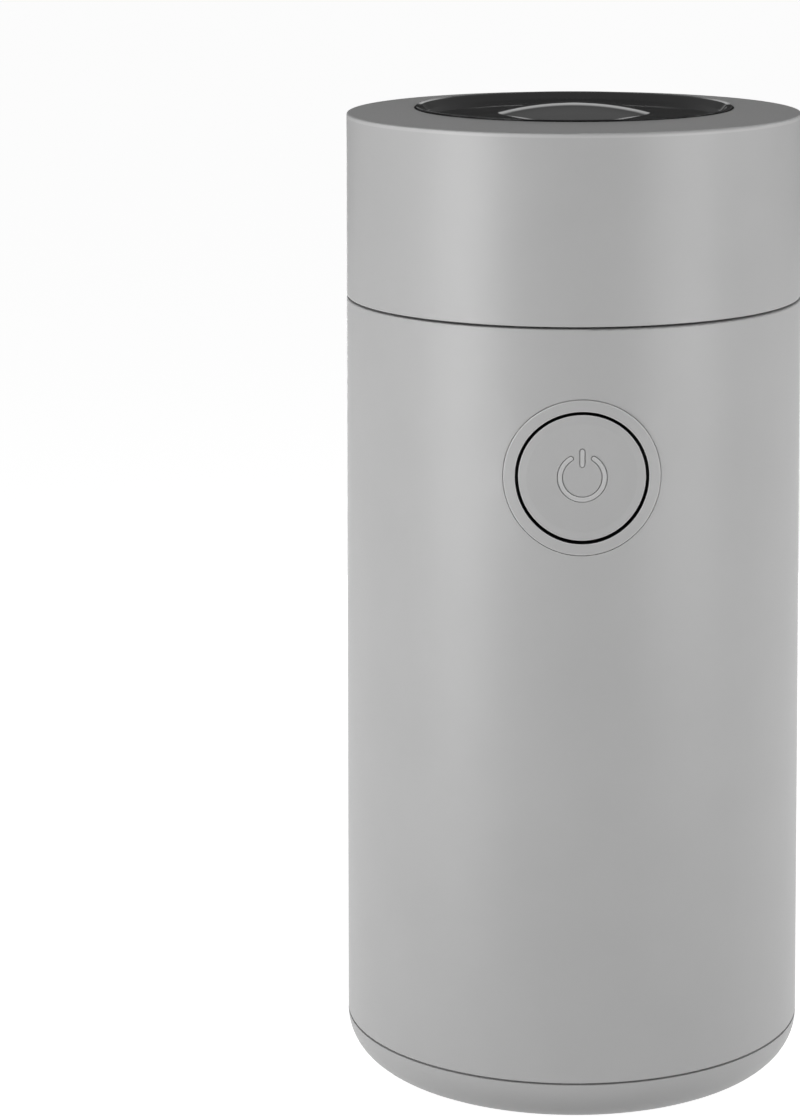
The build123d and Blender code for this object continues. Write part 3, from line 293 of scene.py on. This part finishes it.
# ---- finishes ----
FINISHES = {
    "body_grey": moulded("body_grey", GREY, SATIN),
    # the button's grey carries the gap's black painted shade and painted highlight lines
    "button_grey_painted_light": button_plastic_with_painted_light("button_grey_painted_light"),
    # the lid's grey carries a painted highlight line along its top edge
    "lid_grey_painted_highlight": lid_plastic_with_painted_highlight("lid_grey_painted_highlight"),
    "symbol_grey": moulded("symbol_grey", shade(GREY, 1.18), SATIN),
    "smoked_clear": smoked("smoked_clear"),
    "black_plastic": moulded("black_plastic", (0.025, 0.025, 0.026), 0.55, 1800, 0.00004),
    "white_plastic": moulded("white_plastic", (0.72, 0.72, 0.70), 0.45),
    "rubber": moulded("rubber", (0.022, 0.022, 0.022), 0.75, 1500, 0.00005, 0.3),
    "seal_silicone": moulded("seal_silicone", (0.42, 0.42, 0.41), 0.5),
    "bowl_steel": metal("bowl_steel", (0.66, 0.66, 0.66), 0.30, (1, 1, 30), 100, 0.04),
    "bright_steel": metal("bright_steel", (0.62, 0.62, 0.63), 0.22),
    "screw_steel": metal("screw_steel", (0.50, 0.50, 0.51), 0.35, scale=900),
    "core_steel": metal("core_steel", (0.16, 0.16, 0.17), 0.5, (1, 1, 14)),
    "winding_copper": metal("winding_copper", (0.55, 0.24, 0.10), 0.35, (1, 1, 6)),
    "commutator_copper": metal("commutator_copper", (0.70, 0.38, 0.22), 0.3, (1, 1, 8)),
    "bracket_metal": metal("bracket_metal", (0.55, 0.55, 0.56), 0.45, scale=700),
    "carbon": moulded("carbon", (0.03, 0.03, 0.03), 0.6),
    "brass": metal("brass", (0.68, 0.52, 0.24), 0.3),
    "board_green": moulded("board_green", (0.04, 0.20, 0.09), 0.35),
    "capacitor_yellow": moulded("capacitor_yellow", (0.72, 0.50, 0.07), 0.4),
}
FINISH_OF_NODE = {
    "button_cap": "button_grey_painted_light",
    "button_bezel": "button_grey_painted_light",
    "lid_shell": "lid_grey_painted_highlight",
}


def dress_frame():
    """Gives every CAD node its own finish, or the one of its record slot."""
    for part in frame["record"]["subparts"]:
        node = nodes[part["node"]]
        finish = FINISH_OF_NODE.get(part["node"], part["material_slot"])
        if not node.material_slots:
            node.data.materials.append(None)
        for material_slot in node.material_slots:
            material_slot.link = "OBJECT"
            material_slot.material = FINISHES[finish]


# ---- world; a sky's stop is the height of a direction, 0 level and 1 straight up, and its brightness ----
EVEN_LIGHT = 0.06
HORIZON, BAND, BAND_SIDE = 0.04, 0.80, 0.14
OVERHEAD = ((0.26, 0.16), (0.58, 0.50), (1, 1.0))
SKY_MIDDLE = ((0.115, HORIZON), (0.135, BAND), (0.21, BAND), *OVERHEAD)
SKY_ASIDE = ((0.105, HORIZON), (0.125, BAND_SIDE), (0.18, BAND_SIDE), *OVERHEAD)
MIDDLE_END, ASIDE_START = 0.11, 0.22  # sideways part of the direction


def combine(tree, first, second, operation):
    """Two values made one by an operation."""
    node = tree.nodes.new("ShaderNodeMath")
    node.operation = operation
    tree.links.new(first, node.inputs[0])
    tree.links.new(second, node.inputs[1])
    return node.outputs[0]


def ray_kinds(tree):
    """One for rays that are seen or seen through, and one for mirrored rays."""
    path = tree.nodes.new("ShaderNodeLightPath")
    seen = combine(tree, path.outputs["Is Camera Ray"], path.outputs["Is Transmission Ray"], "MAXIMUM")
    return seen, path.outputs["Is Glossy Ray"]


def mix_shaders(tree, factor, first, second):
    """Blends two shaders by a factor."""
    mix = tree.nodes.new("ShaderNodeMixShader")
    tree.links.new(factor, mix.inputs[0])
    tree.links.new(first, mix.inputs[1])
    tree.links.new(second, mix.inputs[2])
    return mix.outputs[0]


def even_sky(tree, strength):
    """White of one strength in every direction."""
    node = tree.nodes.new("ShaderNodeBackground")
    node.inputs["Color"].default_value = (1, 1, 1, 1)
    node.inputs["Strength"].default_value = strength
    return node.outputs[0]


def sky_by_height(tree, height, stops):
    """A sky whose brightness follows the height of the direction."""
    ramp = tree.nodes.new("ShaderNodeValToRGB")
    fill_ramp(ramp, stops)
    tree.links.new(height, ramp.inputs["Fac"])
    node = tree.nodes.new("ShaderNodeBackground")
    node.inputs["Strength"].default_value = 1.0
    tree.links.new(ramp.outputs["Color"], node.inputs["Color"])
    return node.outputs[0]


def studio_sky(tree):
    """Dim just above the horizon, with a band of light over that, brightest in front and behind."""
    place = tree.nodes.new("ShaderNodeTexCoord")
    split = tree.nodes.new("ShaderNodeSeparateXYZ")
    tree.links.new(place.outputs["Generated"], split.inputs[0])
    middle = sky_by_height(tree, split.outputs["Z"], SKY_MIDDLE)
    aside = sky_by_height(tree, split.outputs["Z"], SKY_ASIDE)
    across = tree.nodes.new("ShaderNodeMath")
    across.operation = "ABSOLUTE"
    tree.links.new(split.outputs["X"], across.inputs[0])
    off_middle = tree.nodes.new("ShaderNodeMapRange")
    off_middle.inputs["From Min"].default_value = MIDDLE_END
    off_middle.inputs["From Max"].default_value = ASIDE_START
    tree.links.new(across.outputs[0], off_middle.inputs["Value"])
    return mix_shaders(tree, off_middle.outputs["Result"], middle, aside)


def make_world():
    """White to the eye, an even light on the object, and a studio to mirrors."""
    world = bpy.data.worlds.new("studio")
    world.use_nodes = True
    tree = world.node_tree
    tree.nodes.clear()
    output = tree.nodes.new("ShaderNodeOutputWorld")
    seen, glossy = ray_kinds(tree)
    lit = mix_shaders(tree, glossy, even_sky(tree, EVEN_LIGHT), studio_sky(tree))
    shown = mix_shaders(tree, seen, lit, even_sky(tree, 1.0))
    tree.links.new(shown, output.inputs["Surface"])
    bpy.context.scene.world = world


# ---- floor ----
FLOOR_SIZE, FLOOR_DROP = 8, 0.0002
FLOOR_ALBEDO, FLOOR_WHITE = 0.45, 0.945
TABLE_NEAR, TABLE_END = 0.9, 1.6  # mirrors see the white within the first and nothing past the second


def near_object(tree):
    """One near the object, falling to nothing at the table's end."""
    place = tree.nodes.new("ShaderNodeTexCoord")
    away = tree.nodes.new("ShaderNodeVectorMath")
    away.operation = "LENGTH"
    tree.links.new(place.outputs["Object"], away.inputs[0])
    near = tree.nodes.new("ShaderNodeMapRange")
    near.inputs["From Min"].default_value = TABLE_END
    near.inputs["From Max"].default_value = TABLE_NEAR
    tree.links.new(away.outputs["Value"], near.inputs["Value"])
    return near.outputs["Result"]


def pale_floor(name):
    """Takes light and shadow, and shows white to the eye and to mirrors close by."""
    material, tree, shader = new_material(name)
    shader.inputs["Base Color"].default_value = (FLOOR_ALBEDO, FLOOR_ALBEDO, FLOOR_ALBEDO, 1)
    shader.inputs["Roughness"].default_value = 1.0
    shader.inputs["Specular IOR Level"].default_value = 0.0
    glow = tree.nodes.new("ShaderNodeEmission")
    glow.inputs["Strength"].default_value = FLOOR_WHITE
    shown = tree.nodes.new("ShaderNodeAddShader")
    tree.links.new(shader.outputs[0], shown.inputs[0])
    tree.links.new(glow.outputs[0], shown.inputs[1])
    seen, glossy = ray_kinds(tree)
    mirrored = combine(tree, glossy, near_object(tree), "MULTIPLY")
    white = combine(tree, seen, mirrored, "MAXIMUM")
    surface = mix_shaders(tree, white, shader.outputs[0], shown.outputs[0])
    tree.links.new(surface, find_node(tree, "ShaderNodeOutputMaterial").inputs["Surface"])
    return material


def make_floor():
    """A plain pale floor that shows white and keeps the object's soft shadow."""
    bpy.ops.mesh.primitive_plane_add(size=FLOOR_SIZE, location=(0, 0, -FLOOR_DROP))
    floor = bpy.context.object
    floor.name = "floor"
    floor.data.materials.append(pale_floor("floor_pale"))


# ---- lamps; a box is its height above the floor, its width and its length ----
LAMP_RING = 0.42  # from the object's axis
LAMP_AIM = 0.10  # height on the axis that every lamp faces
PANEL, HIGH_BOX, BACK_BOX = (0.16, 0.10, 0.36), (0.26, 0.14, 0.16), (0.07, 0.24, 0.14)
LAMPS = (  # name, degrees round from the button to its right, box, watts
    ("left_far", -68, PANEL, 0.33),
    ("left_middle", -57, PANEL, 0.54),
    ("left_near", -46, PANEL, 0.58),
    ("right_near", 40, PANEL, 0.41),
    ("right_middle", 51, PANEL, 0.24),
    ("right_far", 62, PANEL, 0.48),
    ("left_high", -90, HIGH_BOX, 0.18),
    ("right_high", 90, HIGH_BOX, 0.32),
    ("back_box", 180, BACK_BOX, 0.5),
)


def make_lamp(name, azimuth, box, power):
    """A soft box that faces the object's axis and isn't seen itself."""
    height, width, tall = box
    data = bpy.data.lights.new(name, "AREA")
    data.shape = "RECTANGLE"
    data.size = width
    data.size_y = tall
    data.energy = power
    lamp = bpy.data.objects.new(name, data)
    turn = radians(azimuth)
    place = Vector((LAMP_RING * sin(turn), -LAMP_RING * cos(turn), height))
    aim = Vector((0, 0, LAMP_AIM)) - place
    lamp.rotation_euler = aim.to_track_quat("-Z", "Y").to_euler()
    lamp.location = place
    lamp.visible_camera = False
    bpy.context.scene.collection.objects.link(lamp)


make_camera()
dress_frame()
make_world()
make_floor()
for lamp_facts in LAMPS:
    make_lamp(*lamp_facts)

bpy.context.scene.view_settings.view_transform = "Standard"
